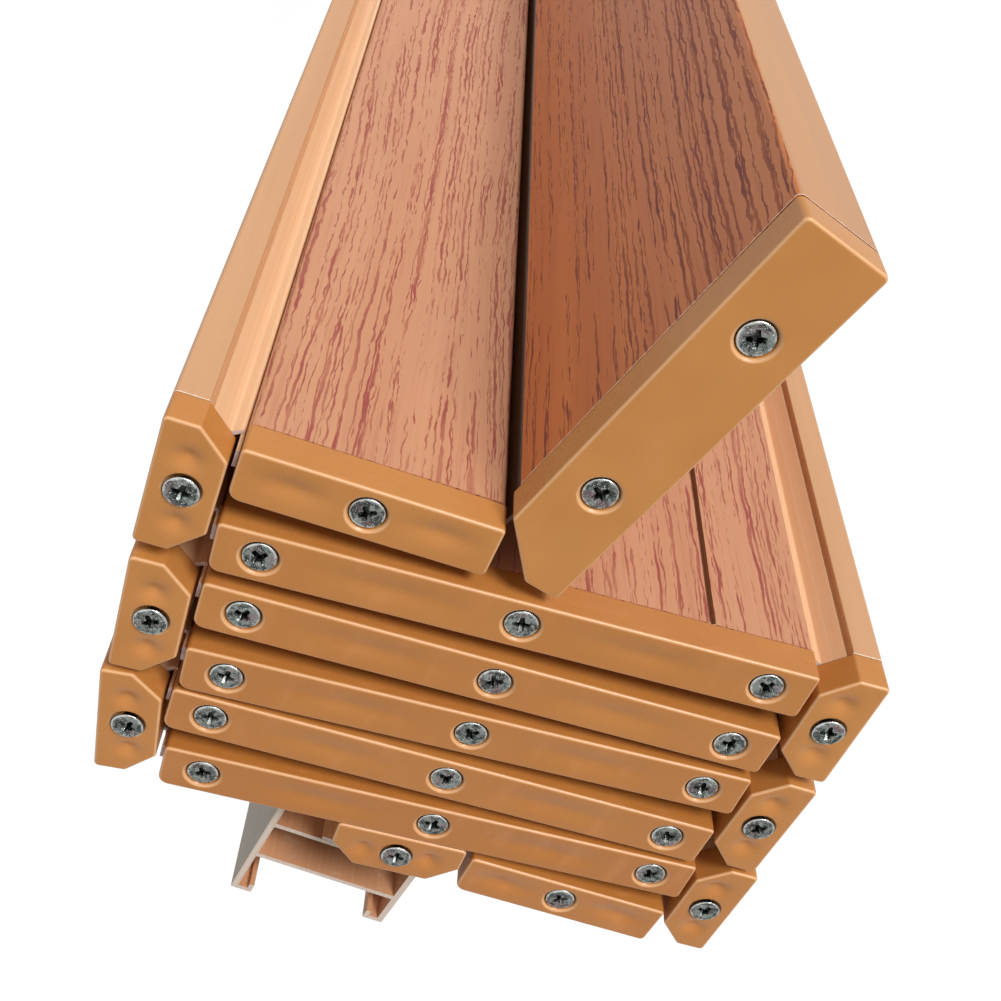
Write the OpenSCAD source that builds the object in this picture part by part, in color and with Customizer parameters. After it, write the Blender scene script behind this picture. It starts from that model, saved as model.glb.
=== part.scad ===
// Accordion folding door, folded nearly flat against its wall channel.
// Long hollow profiles stand upright: wide leaves and narrow slats take turns, joined by soft strips.
// Plans are drawn looking down, u to the right along the folded leaves and v away from the wall.

/* [Door] */
// Height of the door, caps included
door_h = 2000; // [1200:10:2400]
// Turn of the folded stack out of square with the wall channel
stack_lean = 8; // [4:0.5:10]

/* [Leaves] */
// Width of a full leaf
leaf_w = 117.4; // [100:0.2:140]
// Width of the half leaf at each end of the stack
half_w = 47; // [44:0.5:52]
// How much wider the half leaf beside the post is
lead_extra = 1.2; // [0:0.1:1.2]
// Thickness of a leaf
leaf_t = 11.5; // [9.5:0.1:11.5]
// Wall of a leaf
leaf_wall = 1.1; // [0.9:0.1:1.4]
// Rounding of a leaf's long edges
leaf_round = 1.5; // [0.5:0.1:2]
// Distance of a full leaf's outer screws from its ends
screw_in = 8.7; // [8:0.1:14]
// Distance of the V groove from the middle of a full leaf
vee_off = 37; // [12:1:38]
// Depth of the V groove
vee_depth = 0.5; // [0.2:0.1:0.6]

/* [Slats] */
// Width of a slat
slat_w = 29; // [28:0.5:30]
// Thickness of a slat
slat_t = 12.5; // [12:0.1:14]
// Chamfer at the two hinge corners of a slat
slat_chamfer = 6; // [5.5:0.1:6.3]
// Wall of a slat
slat_wall = 1.2; // [1:0.1:1.5]
// Depth of the seat that each chamfer of a slat has for its strip
strip_seat = 1.1; // [1:0.1:1.3]

/* [Lead post] */
// Width of the post, from hinge end to leading edge
post_w = 83.5; // [75:0.5:100]
// Thickness of the post
post_t = 17.7; // [16:0.1:20]
// Chamfer at the hinge corner of the post, down its hinge end
post_chamfer = 10.5; // [9:0.1:12]
// The chamfer of the post's profile along its face, a little of which its cap overhangs
post_chamfer_face = 12.6; // [10.5:0.1:14]
// Wall of the post
post_wall = 1.4; // [1:0.1:2]
// First screw, from the hinge end
post_screw_a = 24; // [18:0.5:26]
// Last screw, from the leading edge
post_screw_b = 20.4; // [15:0.2:25]

/* [Wall channel] */
// Outer width of the channel
channel_w = 37; // [36:0.5:42]
// Side walls of the channel
channel_wall = 1.5; // [1.2:0.1:2]
// Thickness of the two webs
web_t = 1.2; // [1:0.1:1.6]
// Clear space between the webs
web_gap = 10.7; // [9:0.1:14]
// Height of the flanges above the outer web
flange_h = 5.5; // [3:0.1:6]
// Reach of the left leg behind the inner web
leg_left = 13.6; // [11:0.1:18]
// Reach of the right leg behind the inner web
leg_right = 9.7; // [8:0.1:18]
// Width of the lips at the ends of the legs
lip_w = 3.5; // [2:0.1:5]
// Height of the turned up edge of a lip
lip_up = 1.6; // [0.5:0.1:2.5]

/* [Wall fixing] */
// Diameter of the screw holes in the inner web
fix_d = 4.5; // [3.5:0.1:6]
// Diameter of the tool holes in the outer web
tool_d = 10; // [8:0.5:12]
// Distance between the highest and the lowest screw hole
fix_outer = 1740; // [900:10:2200]
// Distance between the two middle screw holes
fix_inner = 580; // [200:10:800]

/* [Caps and screws] */
// Depth of an end cap
cap_d = 8; // [6:0.5:12]
// Face of an end cap
cap_face = 2.4; // [2:0.1:3]
// Rim of an end cap
cap_rim = 1.6; // [1.2:0.1:2]
// Rounding of a leaf cap's corners
cap_round = 1.6; // [0.4:0.1:1.6]
// Diameter of a screw's head
head_d = 6.6; // [6:0.1:7]
// Diameter of a screw's shank
shank_d = 3.2; // [2.8:0.1:3.4]
// Length of a screw
screw_l = 25; // [16:1:40]
// How far the screws of a slat stand proud of its cap
slat_proud = 0.7; // [0:0.1:0.8]

/* [Soft strips] */
// Thickness of a strip
strip_t = 0.8; // [0.6:0.1:0.9]
// Gap that a strip crosses between two pieces
hinge_gap = 1.4; // [1.3:0.1:2]
// Diameter of the bead along each edge of a strip
bead_d = 2; // [1.6:0.1:2.2]

/* [Hidden] */
$fn = 48;
bead_clear = 0.3;
shank_clear = 0.15;
seat_clear = 0.1;
boss_wall = 1.1;
cross_w = 1.1;
cross_l = 3.8;
cross_d = 1.5;
cone_h = 1.8;
eps = 0.01;

// Hinge lines under the outer face of a leaf, at its end toward the wall and at its other end
face_in = 4.15;
face_out = 3.55;
rise_in = leaf_t / 2 - face_in;
rise_out = leaf_t / 2 - face_out;
// Hinge line between the channel and the first slat, from the middle of the outer web
wall_hinge_side = -2.2;
wall_hinge_rise = 3.8;
wall_hinge_off = 1.05;
wall_hinge_along = 2.6;
// How far the first slat lies below the hinge line of the first leaf
first_slat_low = 0.45;
// Hinge line between the last leaf and the post
post_hinge_side = -0.8;
post_hinge_rise = 2.2;
post_hinge_in = 3.1;
post_hinge_off = 0.5;
// Distance of a groove from the hinge corner, along the chamfer that it is cut in
anchor = 5.8;
post_anchor = 6;
// Depth of a groove's neck, and how far a strip lies off the face that it is fixed to
neck_l = 1.1;
strip_off = 0.6;
// Width of the wall strip's foot, and how far it lies off the web
foot_w = 7;
foot_lift = 0.1;
// How far each piece stands out of square in the stack, from the wall out
slat_tilt = [0.3, -1.9, 5.4, -2.2, 0.4, 0.4, -1.9];
leaf_tilt = [-4.0, 0.8, -1.4, 1.2, -0.6, 0.7, -2.3];
post_tilt = -18;

SLATS = 7;
POST = 2 * SLATS;
TAN = [0.72, 0.58, 0.45];
FILM = [0.66, 0.49, 0.38];
WOOD = [0.55, 0.33, 0.2];
STEEL = [0.75, 0.74, 0.72];
SOFT = [0.8, 0.66, 0.55];

// Chain of pieces: slats have even numbers from 0, leaves odd ones, and the post comes last
function is_slat(i) = i < POST && i % 2 == 0;
function is_half(i) = i == 1 || i == POST - 1;
function width(i) = i == POST - 1 ? half_w + lead_extra : is_half(i) ? half_w : leaf_w;
// Slats on the right face out to the right, and leaves between them start from that side
function on_right(i) = i % 4 == 2 || i % 4 == 3;
function quarter(i) = i == 0 ? 90 : i == POST ? 90 : is_slat(i) && !on_right(i) ? 180 : 0;
function tilt(i) = i == POST ? post_tilt : is_slat(i) ? slat_tilt[i / 2] : leaf_tilt[(i - 1) / 2];
function angle(i) = quarter(i) + tilt(i) + stack_lean;
function turned(p, a) = [p.x * cos(a) - p.y * sin(a), p.x * sin(a) + p.y * cos(a)];

slat_half = slat_w / 2;
slat_face = -slat_t / 2;
slat_hinge = slat_face - hinge_gap / 2;
slat_reach = slat_half - slat_chamfer;
web_back = web_t + web_gap;
web_front = web_back + web_t;
wall_hinge = [wall_hinge_side, web_front + wall_hinge_rise];

// Hinge point of a piece toward the wall, in its own plan
function hinge_in(i) =
    i == 0 ? [slat_face - wall_hinge_off, slat_reach + wall_hinge_along] :
    i == POST ? [post_chamfer_face - post_hinge_in, post_t + post_hinge_off] :
    is_slat(i) ? [slat_hinge, on_right(i) ? -slat_reach : slat_reach] :
    [(on_right(i) ? 1 : -1) * (width(i) + hinge_gap) / 2, rise_in];

// Hinge point of a piece away from the wall, in its own plan
function hinge_out(i) =
    i == 0 ? [first_slat_low, -slat_half - hinge_gap / 2] :
    i == POST - 1 ? [width(i) / 2 + post_hinge_side, leaf_t / 2 + post_hinge_rise] :
    is_slat(i) ? [slat_hinge, on_right(i) ? slat_reach : -slat_reach] :
    [(on_right(i) ? -1 : 1) * (width(i) + hinge_gap) / 2, rise_out];

// Place of a piece's own origin: each one hangs on the piece before it
function place(i) =
    (i == 0 ? wall_hinge : place(i - 1) + turned(hinge_out(i - 1), angle(i - 1)))
    - turned(hinge_in(i), angle(i));

// Point of a piece's own plan, in the plan of the whole door
function on(i, p) = place(i) + turned(p, angle(i));

body_h = door_h - 2 * cap_d;
port_r = shank_d / 2 + shank_clear;
boss_r = port_r + boss_wall;
groove_r = bead_d / 2 + bead_clear;
neck_w = strip_t + 2 * bead_clear;

// Plan of the door, set upright with the wall behind it and the middle of its height at zero
module upright() {
    rotate([0, 0, -90])
        children();
}

module piece(i) {
    upright()
        translate(place(i))
            rotate(angle(i))
                children();
}

// Full length of a profile, between the caps
module drawn() {
    translate([0, 0, -body_h / 2])
        linear_extrude(body_h)
            children();
}

// The same form at the head and, turned over, at the foot
module both_ends() {
    for (side = [0, 1])
        mirror([0, 0, side])
            translate([0, 0, body_h / 2])
                children();
}

// Groove for a bead, opening at a face point and running inward along a direction
module groove(face, inward) {
    a = atan2(inward.y, inward.x);
    depth = neck_l + groove_r;
    translate(face)
        rotate(a) {
            translate([depth, 0])
                circle(groove_r);
            translate([-eps, -neck_w / 2])
                square([depth, neck_w]);
        }
}

// Material that a groove is cut from
module groove_block(face, inward) {
    a = atan2(inward.y, inward.x);
    depth = neck_l + 2 * groove_r + boss_wall;
    side = 2 * (groove_r + boss_wall);
    translate(face)
        rotate(a)
            translate([0, -side / 2])
                square([depth, side]);
}

// Edge of a strip: its neck and bead, inside a groove
module strip_edge(face, inward) {
    a = atan2(inward.y, inward.x);
    depth = neck_l + groove_r;
    translate(face)
        rotate(a) {
            translate([depth, 0])
                circle(bead_d / 2);
            translate([-strip_off, -strip_t / 2])
                square([depth + strip_off, strip_t]);
        }
}

// Band of a soft strip through the given points
module band(points) {
    for (i = [0 : len(points) - 2]) {
        step = points[i + 1] - points[i];
        translate(points[i])
            rotate(atan2(step.y, step.x))
                translate([0, -strip_t / 2])
                    square([norm(step), strip_t]);
    }
    for (p = points)
        translate(p)
            circle(strip_t / 2);
}

module rounded(size, r) {
    square([size.x - 2 * r, size.y], center = true);
    square([size.x, size.y - 2 * r], center = true);
    for (x = [-1, 1], y = [-1, 1])
        translate([x * (size.x / 2 - r), y * (size.y / 2 - r)])
            circle(r);
}

// Leaves
function leaf_screws(i) = is_half(i) ? [[0, 0]] : [for (k = [-1 : 1]) [k * (leaf_w / 2 - screw_in), 0]];

module leaf_ends(i) {
    for (side = [-1, 1])
        groove([side * width(i) / 2, 0], [-side, 0]);
}

module leaf_plan(i) {
    w = width(i);
    difference() {
        union() {
            difference() {
                rounded([w, leaf_t], leaf_round);
                square([w - 2 * leaf_wall, leaf_t - 2 * leaf_wall], center = true);
            }
            for (p = leaf_screws(i))
                translate(p)
                    square([2 * boss_r, leaf_t - leaf_wall], center = true);
            intersection() {
                rounded([w, leaf_t], leaf_round);
                for (side = [-1, 1])
                    groove_block([side * w / 2, 0], [-side, 0]);
            }
        }
        for (p = leaf_screws(i))
            translate(p)
                circle(port_r);
        leaf_ends(i);
        if (!is_half(i))
            translate([vee_off, (on_right(i) ? 1 : -1) * leaf_t / 2])
                rotate(45)
                    square(vee_depth * sqrt(2), center = true);
    }
}

module leaf(i) {
    color(FILM)
        piece(i)
            drawn()
                leaf_plan(i);
}

// Screws and caps, the same for every profile
module screw_seat(proud) {
    flush = cap_d - seat_clear + proud;
    translate([0, 0, flush - cone_h])
        cylinder(h = cone_h + eps, r1 = port_r, r2 = head_d / 2 + seat_clear);
    translate([0, 0, flush])
        cylinder(h = cap_d, r = head_d / 2 + seat_clear);
    translate([0, 0, -eps])
        cylinder(h = cap_d, r = port_r);
}

module screw(proud) {
    flush = cap_d + proud;
    difference() {
        union() {
            translate([0, 0, flush - cone_h])
                cylinder(h = cone_h, r1 = shank_d / 2, r2 = head_d / 2);
            translate([0, 0, flush - screw_l])
                cylinder(h = screw_l - cone_h, r = shank_d / 2);
        }
        for (a = [0, 90])
            rotate(a)
                translate([-cross_l / 2, -cross_w / 2, flush - cross_d])
                    cube([cross_l, cross_w, 2 * cross_d]);
    }
}

module screws(i, places, proud = 0) {
    color(STEEL)
        piece(i)
            both_ends()
                for (p = places)
                    translate(p)
                        screw(proud);
}

// Cap: a face and a rim over the profile's end, with a boss round each screw.
// Its first child is the outline and its second one the hollow under the face.
module caps(i, places, proud = 0) {
    color(TAN)
        piece(i)
            both_ends()
                difference() {
                    linear_extrude(cap_d)
                        children(0);
                    difference() {
                        translate([0, 0, -eps])
                            linear_extrude(cap_d - cap_face)
                                children(1);
                        for (p = places)
                            translate([p.x, p.y, -cap_d])
                                cylinder(h = 2 * cap_d, r = head_d / 2 + boss_wall);
                    }
                    for (p = places)
                        translate(p)
                            screw_seat(proud);
                }
}

module leaf_caps(i) {
    caps(i, leaf_screws(i)) {
        rounded([width(i), leaf_t], cap_round);
        square([width(i) - 2 * cap_rim, leaf_t - 2 * cap_rim], center = true);
    }
}

// Slats
slat_screws = [[0, 0]];

// Outline of a slat's cap, drawn in by the given depth, with its chamfers sunk by the given seat
module slat_outline(inset = 0, seat = 0) {
    out = slat_t / 2 - inset;
    end = slat_half - inset;
    cut = slat_chamfer - inset * (2 - sqrt(2)) + seat * sqrt(2);
    polygon([
        [out, -end], [out, end], [-out + cut, end],
        [-out, end - cut], [-out, cut - end], [-out + cut, -end]
    ]);
}

// Groove points of a slat and the directions into it, toward the wall first
function slat_side(i) = is_slat(i) && on_right(i) ? -1 : 1;
function chamfer_point(side, along) =
    [slat_face, side * slat_reach] + (along * [1, side] + strip_seat * [1, -side]) / sqrt(2);
function slat_groove_in(i) = chamfer_point(slat_side(i), i == 0 ? slat_chamfer / sqrt(2) : anchor);
function slat_groove_out(i) =
    i == 0 ? [slat_t / 2 - slat_wall - groove_r, -slat_half] : chamfer_point(-slat_side(i), anchor);
function slat_into_in(i) = [1, -slat_side(i)];
function slat_into_out(i) = i == 0 ? [0, 1] : [1, slat_side(i)];

// Section of a slat: its chamfers are seats for the strips, with a step at their outer ends
module slat_section() {
    slat_outline(0, strip_seat);
    translate([slat_face + slat_chamfer, -slat_half])
        square([slat_t - slat_chamfer, slat_w]);
}

module slat_plan(i) {
    difference() {
        union() {
            difference() {
                slat_section();
                slat_outline(slat_wall, strip_seat);
            }
            square([slat_t - slat_wall, 2 * boss_r], center = true);
            intersection() {
                slat_section();
                union() {
                    groove_block(slat_groove_in(i), slat_into_in(i));
                    groove_block(slat_groove_out(i), slat_into_out(i));
                }
            }
        }
        circle(port_r);
        groove(slat_groove_in(i), slat_into_in(i));
        groove(slat_groove_out(i), slat_into_out(i));
    }
}

module slat(i) {
    color(TAN)
        piece(i)
            drawn()
                slat_plan(i);
}

module slat_caps(i) {
    caps(i, slat_screws, slat_proud) {
        slat_outline();
        slat_outline(cap_rim);
    }
}

// Strip between two neighbours: it lies on a chamfer, bends at the hinge line and holds by two beads
module gap_strip(i, face, inward, j, leaf_side) {
    leaf_face = [leaf_side * width(j) / 2, 0];
    start = face - strip_off * inward / norm(inward);
    hinge = i < j ? hinge_out(i) : hinge_in(i);
    end = leaf_face + [leaf_side * strip_off, 0];
    band([on(i, start), on(i, hinge), on(j, end)]);
    translate(place(i))
        rotate(angle(i))
            strip_edge(face, inward);
    translate(place(j))
        rotate(angle(j))
            strip_edge(leaf_face, [-leaf_side, 0]);
}

// Strip of the wall hinge: a foot on the web, a stem through the hinge line and a bead in the chamfer
module wall_strip() {
    face = slat_groove_in(0);
    inward = slat_into_in(0);
    start = face - strip_off * inward / norm(inward);
    low = [wall_hinge.x, web_front + foot_lift + strip_t / 2];
    band([low, wall_hinge, on(0, start)]);
    band([low - [foot_w / 2, 0], low + [foot_w / 2, 0]]);
    translate(place(0))
        rotate(angle(0))
            strip_edge(face, inward);
}

module slat_strips(i) {
    color(SOFT)
        upright()
            drawn() {
                if (i == 0)
                    wall_strip();
                else
                    gap_strip(i, slat_groove_in(i), slat_into_in(i), i - 1, on_right(i) ? 1 : -1);
                gap_strip(i, slat_groove_out(i), slat_into_out(i), i + 1, on_right(i + 1) ? 1 : -1);
            }
}

// Lead post
post_screws = [[post_screw_a, post_t / 2], [post_w - post_screw_b, post_t / 2]];
post_chamfer_l = norm([post_chamfer_face, post_chamfer]);
post_groove = [post_chamfer_face, post_t] - post_anchor / post_chamfer_l * [post_chamfer_face, post_chamfer];
post_into = [post_chamfer, -post_chamfer_face];

// Outline of the post, drawn in by the given depth, with its chamfer along the face as given
module post_outline(inset = 0, face = post_chamfer_face) {
    slope = norm([face, post_chamfer]);
    low = inset;
    top = post_t - inset;
    far = post_w - inset;
    right = face + inset * (slope - face) / post_chamfer;
    down = post_t - post_chamfer - inset * (slope - post_chamfer) / face;
    polygon([[low, low], [far, low], [far, top], [right, top], [low, down]]);
}

module post_plan() {
    difference() {
        union() {
            difference() {
                post_outline();
                post_outline(post_wall);
            }
            for (p = post_screws)
                translate(p)
                    square([2 * boss_r, post_t - post_wall], center = true);
            intersection() {
                post_outline();
                groove_block(post_groove, post_into);
            }
        }
        for (p = post_screws)
            translate(p)
                circle(port_r);
        groove(post_groove, post_into);
    }
}

module lead_post() {
    color(WOOD)
        piece(POST)
            drawn()
                post_plan();
}

module lead_post_caps() {
    caps(POST, post_screws) {
        post_outline(0, post_chamfer);
        post_outline(cap_rim, post_chamfer);
    }
}

module lead_post_screws() {
    screws(POST, post_screws);
}

module lead_post_strip() {
    leaf_face = [width(POST - 1) / 2, 0];
    end = leaf_face + [strip_off, 0];
    start = post_groove - strip_off * post_into / norm(post_into);
    color(SOFT)
        upright()
            drawn() {
                band([on(POST, start), on(POST - 1, end)]);
                translate(place(POST))
                    rotate(angle(POST))
                        strip_edge(post_groove, post_into);
                translate(place(POST - 1))
                    rotate(angle(POST - 1))
                        strip_edge(leaf_face, [-1, 0]);
            }
}

// Wall channel: two webs between the side walls, flanges in front and hooked legs behind
module channel_leg(side, reach) {
    inner = channel_w / 2 - channel_wall;
    scale([side, 1]) {
        translate([inner, -reach])
            square([channel_wall, reach + web_front + flange_h]);
        translate([inner - lip_w, -reach])
            square([lip_w + eps, web_t]);
        translate([inner - lip_w, -reach])
            square([web_t, web_t + lip_up]);
    }
}

module channel_plan() {
    for (back = [0, web_back])
        translate([-channel_w / 2 + eps, back])
            square([channel_w - 2 * eps, web_t]);
    channel_leg(-1, leg_left);
    channel_leg(1, leg_right);
}

module wall_channel() {
    color(FILM)
        upright()
            difference() {
                drawn()
                    channel_plan();
                for (z = [-fix_outer, -fix_inner, fix_inner, fix_outer] / 2)
                    translate([0, 0, z])
                        rotate([-90, 0, 0]) {
                            translate([0, 0, -eps])
                                cylinder(h = web_t + 2 * eps, d = fix_d);
                            translate([0, 0, web_back - eps])
                                cylinder(h = web_t + 2 * eps, d = tool_d);
                        }
            }
}

wall_channel();
slat(0);  // slat_1
slat_caps(0);  // slat_1_caps
screws(0, slat_screws, slat_proud);  // slat_1_screws
slat_strips(0);  // slat_1_strips
leaf(1);  // leaf_1
leaf_caps(1);  // leaf_1_caps
screws(1, leaf_screws(1));  // leaf_1_screws
slat(2);  // slat_2
slat_caps(2);  // slat_2_caps
screws(2, slat_screws, slat_proud);  // slat_2_screws
slat_strips(2);  // slat_2_strips
leaf(3);  // leaf_2
leaf_caps(3);  // leaf_2_caps
screws(3, leaf_screws(3));  // leaf_2_screws
slat(4);  // slat_3
slat_caps(4);  // slat_3_caps
screws(4, slat_screws, slat_proud);  // slat_3_screws
slat_strips(4);  // slat_3_strips
leaf(5);  // leaf_3
leaf_caps(5);  // leaf_3_caps
screws(5, leaf_screws(5));  // leaf_3_screws
slat(6);  // slat_4
slat_caps(6);  // slat_4_caps
screws(6, slat_screws, slat_proud);  // slat_4_screws
slat_strips(6);  // slat_4_strips
leaf(7);  // leaf_4
leaf_caps(7);  // leaf_4_caps
screws(7, leaf_screws(7));  // leaf_4_screws
slat(8);  // slat_5
slat_caps(8);  // slat_5_caps
screws(8, slat_screws, slat_proud);  // slat_5_screws
slat_strips(8);  // slat_5_strips
leaf(9);  // leaf_5
leaf_caps(9);  // leaf_5_caps
screws(9, leaf_screws(9));  // leaf_5_screws
slat(10);  // slat_6
slat_caps(10);  // slat_6_caps
screws(10, slat_screws, slat_proud);  // slat_6_screws
slat_strips(10);  // slat_6_strips
leaf(11);  // leaf_6
leaf_caps(11);  // leaf_6_caps
screws(11, leaf_screws(11));  // leaf_6_screws
slat(12);  // slat_7
slat_caps(12);  // slat_7_caps
screws(12, slat_screws, slat_proud);  // slat_7_screws
slat_strips(12);  // slat_7_strips
leaf(13);  // leaf_7
leaf_caps(13);  // leaf_7_caps
screws(13, leaf_screws(13));  // leaf_7_screws
lead_post();
lead_post_caps();
lead_post_screws();
lead_post_strip();
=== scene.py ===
import math

import bmesh
import bpy
import numpy as np
from mathutils import Matrix, Vector
from mathutils.geometry import delaunay_2d_cdt, intersect_line_line_2d


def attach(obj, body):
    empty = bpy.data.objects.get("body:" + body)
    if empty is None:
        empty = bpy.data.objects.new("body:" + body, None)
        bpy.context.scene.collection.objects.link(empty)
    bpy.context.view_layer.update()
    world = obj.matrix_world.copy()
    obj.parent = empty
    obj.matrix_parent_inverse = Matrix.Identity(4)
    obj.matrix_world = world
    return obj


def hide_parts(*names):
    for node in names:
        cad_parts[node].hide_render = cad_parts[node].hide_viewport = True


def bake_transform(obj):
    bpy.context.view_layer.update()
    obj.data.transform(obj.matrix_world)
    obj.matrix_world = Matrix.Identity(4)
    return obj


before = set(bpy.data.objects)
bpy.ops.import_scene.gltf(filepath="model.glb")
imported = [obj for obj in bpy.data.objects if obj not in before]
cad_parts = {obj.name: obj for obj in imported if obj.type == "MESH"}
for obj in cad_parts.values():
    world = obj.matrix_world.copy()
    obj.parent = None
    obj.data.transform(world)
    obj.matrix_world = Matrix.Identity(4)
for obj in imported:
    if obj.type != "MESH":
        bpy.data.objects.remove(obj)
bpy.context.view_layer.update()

# Sizes of the door's source, in millimetres
BODY_Z = 992.0
CAP_D = 8.0
LEAF_W, HALF_W, LEAD_EXTRA, LEAF_T, LEAF_ROUND = 117.4, 47.0, 1.2, 11.5, 1.5
SLAT_W, SLAT_T, SLAT_CUT = 29.0, 12.5, 6.0
POST_W, POST_T, POST_CUT, POST_CUT_FACE = 83.5, 17.7, 10.5, 12.6
SCREW_PITCH = 50.0
VEE_AT, VEE_HALF, VEE_DEPTH = 37.0, 0.65, 0.6
POST_SCREWS = ((24.0, POST_T / 2), (63.1, POST_T / 2))
LEAF_WALL, SLAT_WALL, POST_WALL = 1.1, 1.2, 1.4
SEAT = 1.1
HINGE_GAP = 1.4
NECK_L, GROOVE_R, NECK_HALF = 1.1, 1.3, 0.7
BEAD_R = 1.0
PORT_R, BOSS_HALF = 1.75, 2.85
SCREW_L, SHANK_R = 25.0, 1.6
SLAT_PROUD = 0.7
CHANNEL_W, CHANNEL_WALL, WEB_T, WEB_GAP, FLANGE_H = 37.0, 1.5, 1.2, 10.7, 5.5
LEG_LEFT, LEG_RIGHT, LIP_W, LIP_UP = 13.6, 9.7, 3.5, 1.6
FIX_Z, FIX_R, TOOL_R = (-870.0, -290.0, 290.0, 870.0), 2.25, 5.0

# How the folded stack stands
LEAN = 8.0
SLAT_TILT = (0.3, -1.9, 5.4, -2.2, 0.4, 0.4, -1.9)
LEAF_TILT = (-4.0, 0.8, -1.4, 1.2, -0.6, 0.7, -2.3)
POST_TILT = -18.0
RISE_IN, RISE_OUT = LEAF_T / 2 - 4.15, LEAF_T / 2 - 3.55
FIRST_SLAT_LOW = 0.45
WALL_HINGE_OFF, WALL_HINGE_ALONG = 1.05, 2.6
POST_HINGE_IN, POST_HINGE_OFF = 3.1, 0.5
POST_HINGE_SIDE, POST_HINGE_RISE = -0.8, 2.2
WEB_FRONT = 2 * WEB_T + WEB_GAP
WALL_HINGE = np.array([-2.2, WEB_FRONT + 3.8])
ANCHOR, POST_ANCHOR = 5.8, 6.0
POST = 14

ROOT2 = math.sqrt(2)
SLAT_FACE, SLAT_HALF = -SLAT_T / 2, SLAT_W / 2
SLAT_REACH = SLAT_HALF - SLAT_CUT
SLAT_HINGE = SLAT_FACE - HINGE_GAP / 2


# Places of the pieces: slats have even numbers from 0, leaves odd ones, and the post comes last
def is_slat(i):
    return i < POST and i % 2 == 0


def is_half(i):
    return i in (1, POST - 1)


def width(i):
    if i == POST - 1:
        return HALF_W + LEAD_EXTRA
    return HALF_W if is_half(i) else LEAF_W


def on_right(i):
    return i % 4 in (2, 3)


def side_of(i):
    return 1 if on_right(i) else -1


def angle(i):
    if i == POST:
        return 90 + POST_TILT + LEAN
    if is_slat(i):
        quarter = 90 if i == 0 else 0 if on_right(i) else 180
        return quarter + SLAT_TILT[i // 2] + LEAN
    return LEAF_TILT[i // 2] + LEAN


def turned(p, degrees):
    a, p = math.radians(degrees), np.asarray(p, float)
    c, s = math.cos(a), math.sin(a)
    return np.stack([p[..., 0] * c - p[..., 1] * s, p[..., 0] * s + p[..., 1] * c], -1)


# Hinge points of the first slat, the last leaf and the post that follow no rule
ODD_HINGES = {
    (0, False): (SLAT_FACE - WALL_HINGE_OFF, SLAT_REACH + WALL_HINGE_ALONG),
    (0, True): (FIRST_SLAT_LOW, -SLAT_HALF - HINGE_GAP / 2),
    (POST - 1, True): (width(POST - 1) / 2 + POST_HINGE_SIDE, LEAF_T / 2 + POST_HINGE_RISE),
    (POST, False): (POST_CUT_FACE - POST_HINGE_IN, POST_T + POST_HINGE_OFF)}


def hinge_point(i, onward):
    """A piece's hinge toward the post, or else toward the wall, in its own plan."""
    if (i, onward) in ODD_HINGES:
        return ODD_HINGES[i, onward]
    side = side_of(i) if onward else -side_of(i)
    if is_slat(i):
        return SLAT_HINGE, side * SLAT_REACH
    return -side * (width(i) + HINGE_GAP) / 2, RISE_OUT if onward else RISE_IN


PLACES = []
pivot = WALL_HINGE
for i in range(POST + 1):
    PLACES.append(pivot - turned(hinge_point(i, False), angle(i)))
    pivot = PLACES[i] + turned(hinge_point(i, True), angle(i))


def on(i, p):
    """Points of a piece's own plan, in the plan of the whole door."""
    return PLACES[i] + turned(p, angle(i))


def name_of(i):
    return "lead_post" if i == POST else f"{'slat' if is_slat(i) else 'leaf'}_{i // 2 + 1}"


# Outlines in the plan
def unit(v):
    v = np.asarray(v, float)
    return v / np.linalg.norm(v)


def around(centre, r, angles):
    return np.asarray(centre, float) + r * np.stack([np.cos(angles), np.sin(angles)], -1)


def circle(centre, r, parts):
    return around(centre, r, np.linspace(0, 2 * math.pi, parts, endpoint=False))


def rounded(corners, steps=5):
    """Closed outline of (u, v, radius) corners, each with its arc."""
    corners = np.array(corners, float)
    points, made = corners[:, :2], []
    for before, p, after, r in zip(np.roll(points, 1, 0), points, np.roll(points, -1, 0), corners[:, 2]):
        if r == 0:
            made.append(p)
            continue
        a, b = unit(before - p), unit(after - p)
        half = math.acos(np.clip(a @ b, -1, 1)) / 2
        centre = p + unit(a + b) * r / math.sin(half)
        first, last = (math.atan2(*(p + way * r / math.tan(half) - centre)[::-1]) for way in (a, b))
        sweep = (last - first + math.pi) % (2 * math.pi) - math.pi
        made += list(around(centre, r, first + sweep * np.linspace(0, 1, steps + 1)))
    return np.array(made)


def spaced(loop, most):
    """The same outline with points no further apart than most."""
    made = []
    for a, b in zip(loop, np.roll(loop, -1, 0)):
        parts = max(1, math.ceil(np.linalg.norm(b - a) / most))
        made += [a + (b - a) * s / parts for s in range(parts)]
    return np.array(made)


def left_of(steps):
    """Unit vectors to the left of each step."""
    return np.stack([-steps[:, 1], steps[:, 0]], 1) / np.linalg.norm(steps, axis=1)[:, None]


def drawn_in(loop, depth):
    """Outline moved inward, which is to the left of its travel."""
    mid = (left_of(loop - np.roll(loop, 1, 0)) + left_of(np.roll(loop, -1, 0) - loop)) / 2
    return loop + mid / np.sum(mid * mid, axis=1)[:, None] * depth


def box(u0, v0, u1, v1):
    return np.array([(u0, v0), (u1, v0), (u1, v1), (u0, v1)], float)


def bulb(centre, way, across, r, half, parts):
    """Arc round a centre, open by twice the half width toward where it comes from."""
    turn = math.pi - math.asin(half / r)
    return [centre + r * (way * math.cos(a) + across * math.sin(a)) for a in np.linspace(-turn, turn, parts)]


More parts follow.
